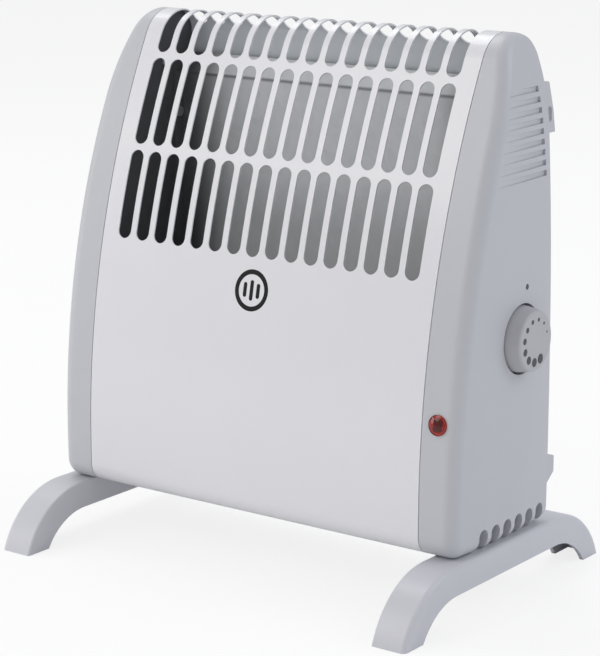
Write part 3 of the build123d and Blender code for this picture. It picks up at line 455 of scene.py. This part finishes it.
knobLow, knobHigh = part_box("thermostat_knob")
knobCentre = ((knobLow[1] + knobHigh[1]) / 2, (knobLow[2] + knobHigh[2]) / 2)
dotFloor = knobHigh[0] - inkFill["recess"] * mm
pads = []
for number in range(dots["count"]):
    angle = math.radians(dots["first"] + number * dots["step"])
    radius = dots["smallest"] + (dots["largest"] - dots["smallest"]) * number / (dots["count"] - 1)
    across = knobCentre[0] + dots["circle"] * mm * math.cos(angle)
    up = knobCentre[1] + dots["circle"] * mm * math.sin(angle)
    pads.append(inkPad(radius, (dotFloor, across, up), (1, 0, 0)))
knobDots = joinPieces(pads, "knobDots")
dress(knobDots, finishes["ink"], "knob", "dark_plastic")

pointerDot = inkPad(pointer["radius"], Vector(pointer["place"]) * mm, pointer["outward"])
pointerDot.name = "pointerDot"
dress(pointerDot, finishes["ink"], "casing", "dark_plastic")
print("knob dots and pointer:", len(pads) + 1)


# a plain heat mark printed on the front: a ring round three upright bars

heatMark = {
    "across": -3.6, "up": 158.0, "before": 5.0, "ringRadius": 11.2, "stroke": 2.6,
    "barPitch": 4.4, "barWidth": 2.3, "barLengths": (8.0, 11.0, 8.0), "barEnd": 0.49,
    "lift": 0.03, "thickness": 0.03,
}


def markSheet(piece):  # lays a flat shape on the front sheet and gives it the ink's thickness
    wrap = piece.modifiers.new("wrap", "SHRINKWRAP")
    wrap.target = nodes["front_panel"]
    wrap.wrap_method = "PROJECT"
    wrap.use_project_y = True
    wrap.use_positive_direction = True
    wrap.use_negative_direction = True
    wrap.offset = heatMark["lift"] * mm
    applyModifier(piece, wrap)
    film = piece.modifiers.new("film", "SOLIDIFY")
    film.thickness = heatMark["thickness"] * mm
    film.offset = 0
    applyModifier(piece, film)


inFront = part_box("front_panel")[0][1] - heatMark["before"] * mm
upright = (math.pi / 2, 0, 0)
markUp = heatMark["up"] * mm
deselectAll()
bpy.ops.mesh.primitive_circle_add(
    vertices=96, radius=heatMark["ringRadius"] * mm, fill_type="NGON",
    location=(heatMark["across"] * mm, inFront, markUp), rotation=upright,
)
ring = bpy.context.object
applyPlace(ring)
pickFaces(ring, everyFace)
insetBy(heatMark["stroke"])
bpy.ops.mesh.delete(type="ONLY_FACE")
leaveEdit()
markParts = [ring]
middleBar = (len(heatMark["barLengths"]) - 1) / 2
for number, length in enumerate(heatMark["barLengths"]):
    across = heatMark["across"] + (number - middleBar) * heatMark["barPitch"]
    deselectAll()
    spot = (across * mm, inFront, markUp)
    bpy.ops.mesh.primitive_plane_add(size=mm, location=spot, rotation=upright)
    bar = bpy.context.object
    bar.scale = (heatMark["barWidth"], length, 1)
    applyPlace(bar)
    pickFaces(bar, everyFace)
    endRadius = heatMark["barEnd"] * heatMark["barWidth"]
    bpy.ops.mesh.bevel(offset=endRadius * mm, segments=8, affect="VERTICES")
    leaveEdit()
    markParts.append(bar)
for piece in markParts:
    markSheet(piece)
frontMark = joinPieces(markParts, "frontMark")
dress(frontMark, finishes["mark"], "casing", "dark_plastic")
print("front mark done")


# pilot lamp: a domed red lens, and behind it the lamp's dark core on a bright washer

pilot = {
    "place": (122.9, -46.05, 104.92), "outward": (0, -0.9952, 0.0979),
    "radius": 5.5, "flange": 0.8, "dome": 1.7, "domeRings": 8, "tip": 0.15, "smooth": 40,
    "barrel": 4.8, "bore": 3.8, "barrelLength": 16.0,
    "coreWidth": 4.4, "coreHeight": 6.2, "coreFront": 0.6, "coreRim": 0.35,
    "washerRadius": 4.7, "washerFront": -0.6, "washerThickness": 0.3, "washerDish": 1 / 3,
}


def makeLens():  # seat at the origin, dome towards +Z
    lens = addCylinder(pilot["radius"], pilot["flange"], 64)
    pickFaces(lens, facesUp)
    rings = pilot["domeRings"]
    span = pilot["radius"] - pilot["tip"]
    for number in range(rings):  # each ring steps in and climbs along the dome's curve
        low, high = [1 - (1 - step / rings) ** 2 for step in (number, number + 1)]
        insetBy(span / rings, pilot["dome"] * (high - low))
    leaveEdit()
    pickFaces(lens, facesDown)
    insetBy(pilot["radius"] - pilot["barrel"])
    pushBy(-pilot["barrelLength"])
    insetBy(pilot["barrel"] - pilot["bore"])
    pushBy(pilot["barrelLength"])
    leaveEdit()
    smoothBelow(pilot["smooth"])
    return lens


def makeCore():
    deselectAll()
    bpy.ops.mesh.primitive_cube_add(size=1)
    core = bpy.context.object
    deep = pilot["coreFront"] - pilot["washerFront"]
    core.scale = (pilot["coreWidth"] * mm, pilot["coreHeight"] * mm, deep * mm)
    core.location = (0, 0, (pilot["coreFront"] - deep / 2) * mm)
    applyPlace(core)
    pickFaces(core, facesUp)
    bevelEdges(pilot["coreRim"], 3)
    leaveEdit()
    return core


def makeWasher():  # dished towards the middle
    thickness = pilot["washerThickness"]
    washer = addCylinder(pilot["washerRadius"], thickness, 48, pilot["washerFront"] - thickness)
    pickFaces(washer, facesUp)
    insetBy(pilot["washerRadius"] - pilot["coreWidth"] / 2, -thickness * pilot["washerDish"])
    leaveEdit()
    return washer


pilotParts = [
    ("pilotLens", makeLens, "lens", "red_lens", ["pilot_lens"]),
    ("pilotCore", makeCore, "core", "dark_plastic", []),
    ("pilotWasher", makeWasher, "washer", "red_lens", []),
]
for name, make, finishName, slotName, replaced in pilotParts:
    form = make()
    piece = placedCopy(form, Vector(pilot["place"]) * mm, pilot["outward"])
    bpy.data.objects.remove(form)
    piece.name = name
    dress(piece, finishes[finishName], "casing", slotName, *replaced)
print("pilot lamp:", len(pilotParts))


# screws: pan heads with a cross recess

screwHead = {
    "radius": 3.5, "height": 1.8, "rounding": 1.1, "shank": 1.75, "smooth": 40, "rollStep": 37,
    "crossWidth": 0.95, "crossSpan": 3.6, "crossDepth": 1.15, "crossTaper": 0.6,
}


def cutSlit(body, width, span):  # one arm of the cross, narrower at its bottom
    deselectAll()
    bpy.ops.mesh.primitive_cube_add(size=1, location=(0, 0, screwHead["height"] * mm))
    cutter = bpy.context.object
    cutter.scale = (width * mm, span * mm, 2 * screwHead["crossDepth"] * mm)
    applyPlace(cutter)
    pickFaces(cutter, facesDown)
    bpy.ops.transform.resize(value=(screwHead["crossTaper"], screwHead["crossTaper"], 1))
    leaveEdit()
    slit = body.modifiers.new("slit", "BOOLEAN")
    slit.object = cutter
    slit.operation = "DIFFERENCE"
    slit.solver = "EXACT"
    applyModifier(body, slit)
    bpy.data.objects.remove(cutter)


def makeScrew(length):  # seat at the origin, head towards +Z
    body = addCylinder(screwHead["radius"], screwHead["height"], 40)
    pickFaces(body, facesUp)
    bevelEdges(screwHead["rounding"], 6)
    leaveEdit()
    pickFaces(body, facesDown)
    insetBy(screwHead["radius"] - screwHead["shank"])
    pushBy(-length)
    leaveEdit()
    cutSlit(body, screwHead["crossSpan"], screwHead["crossWidth"])
    cutSlit(body, screwHead["crossWidth"], screwHead["crossSpan"])
    activate(body)
    smoothBelow(screwHead["smooth"])
    return body


rear = {"reach": 45.0, "bendStart": 170.0, "radius": 1650.0}
rearRow = {"across": (-90, -30, 30, 90), "up": 262.0}
floorRows = {"across": (-60, 60), "deep": (-30.5, 29.0), "up": 32.4}
footRows = {"across": (-124, 124), "deep": (-26, 26), "up": 24.0}
capRows = {"across": 106.3, "places": ((-30, 60), (28, 60), (16, 270), (-24, 162))}

rearTilt = math.asin((rearRow["up"] - rear["bendStart"]) / rear["radius"])
rearOut = (0, math.cos(rearTilt), math.sin(rearTilt))
rearSeat = rear["reach"] - rear["radius"] * (1 - math.cos(rearTilt))


def seatsBelow(rows):
    return [((x, y, rows["up"]), (0, 0, -1)) for x in rows["across"] for y in rows["deep"]]


panelSeats = [((x, rearSeat, rearRow["up"]), rearOut) for x in rearRow["across"]]
panelSeats += seatsBelow(floorRows)
capSeats = [
    ((side * capRows["across"], y, z), (-side, 0, 0))
    for side in (-1, 1) for y, z in capRows["places"]
]
screwGroups = [
    {"name": "panelScrews", "node": "panel_screws", "length": 6, "seats": panelSeats},
    {"name": "footScrews", "node": "foot_screws", "length": 20, "seats": seatsBelow(footRows)},
    {"name": "capScrews", "node": "cap_screws", "length": 14, "seats": capSeats},
]
for group in screwGroups:
    screw = makeScrew(group["length"])
    copies = []
    for number, (seat, outward) in enumerate(group["seats"]):
        roll = math.radians(number * screwHead["rollStep"])
        copies.append(placedCopy(screw, Vector(seat) * mm, outward, roll))
    bpy.data.objects.remove(screw)
    joined = joinPieces(copies, group["name"])
    dress(joined, finishes["plated"], "casing", "plated_steel", group["node"])
print("screws:", sum(len(group["seats"]) for group in screwGroups))


# camera, floor and lights

camera = {
    "place": (0.7470, -1.0059, 0.4283), "tilt": 76.62, "roll": 0.15, "pan": 36.53,
    "lens": 127.1, "sensor": 36,
}
bpy.ops.object.camera_add(location=camera["place"])
cameraPiece = bpy.context.object
cameraPiece.rotation_euler = Euler([math.radians(camera[turn]) for turn in ("tilt", "roll", "pan")])
cameraPiece.data.lens = camera["lens"]
cameraPiece.data.sensor_width = camera["sensor"]
bpy.context.scene.camera = cameraPiece


def mixShaders(tree, share, first, second, output):  # the first where share is 0
    mix = tree.nodes.new("ShaderNodeMixShader")
    tree.links.new(share, mix.inputs["Fac"])
    tree.links.new(first, mix.inputs[1])
    tree.links.new(second, mix.inputs[2])
    tree.links.new(mix.outputs["Shader"], tree.nodes[output].inputs["Surface"])


floor = {
    "size": 8.0, "colour": (0.92, 0.92, 0.925), "roughness": 0.9, "glow": 1.01, "glowShare": 0.8,
}
bpy.ops.mesh.primitive_plane_add(size=floor["size"])
floorPiece = bpy.context.object
floorPiece.name = "floor"
floorFinish, tree, shader, place = newFinish("floorPaper")
shader.inputs["Base Color"].default_value = (*floor["colour"], 1)
shader.inputs["Roughness"].default_value = floor["roughness"]
glow = tree.nodes.new("ShaderNodeEmission")
glow.inputs["Color"].default_value = (floor["glow"], floor["glow"], floor["glow"], 1)
ray = tree.nodes.new("ShaderNodeLightPath")
seen = mathNode(tree, "MAXIMUM", ray.outputs["Is Camera Ray"], ray.outputs["Is Transmission Ray"])
share = mathNode(tree, "MULTIPLY", seen, floor["glowShare"])
mixShaders(tree, share, shader.outputs["BSDF"], glow.outputs["Emission"], "Material Output")
floorPiece.data.materials.append(floorFinish)

room = {"ambient": 0.55, "tint": (0.96, 0.96, 1.0), "backdrop": 0.945}
world = bpy.data.worlds.new("studio")
world.use_nodes = True
bpy.context.scene.world = world
tree = world.node_tree
ambient = tree.nodes["Background"]
ambient.inputs["Color"].default_value = (*room["tint"], 1)
ambient.inputs["Strength"].default_value = room["ambient"]
backdrop = tree.nodes.new("ShaderNodeBackground")
backdrop.inputs["Color"].default_value = (1, 1, 1, 1)
backdrop.inputs["Strength"].default_value = room["backdrop"]
share = tree.nodes.new("ShaderNodeLightPath").outputs["Is Camera Ray"]
mixShaders(
    tree, share, ambient.outputs["Background"], backdrop.outputs["Background"], "World Output"
)

lampSize = 1.0
lampAim = (0, 0, 0.15)
lamps = {
    "backTopBox": {"place": (-0.909, 0.525, 1.969), "power": 10.6, "colour": (0.99, 1.0, 1.0)},
    "keyBox": {"place": (-0.860, -1.490, 1.355), "power": 7.3, "colour": (1.0, 0.98, 0.94)},
    "lowBox": {"place": (-1.779, -1.027, 0.587), "power": 6.6, "colour": (1.0, 0.985, 0.975)},
    "sideBox": {"place": (1.490, 0.860, 1.355), "power": 8.7, "colour": (0.85, 0.905, 1.0)},
}
for name, lamp in lamps.items():
    bpy.ops.object.light_add(type="AREA", location=lamp["place"])
    lampPiece = bpy.context.object
    lampPiece.name = name
    lampPiece.data.size = lampSize
    lampPiece.data.energy = lamp["power"]
    lampPiece.data.color = lamp["colour"]
    towards = Vector(lampAim) - Vector(lamp["place"])
    lampPiece.rotation_euler = towards.to_track_quat("-Z", "Y").to_euler()
bpy.context.scene.view_settings.view_transform = "Standard"
print("camera, floor and lights set")
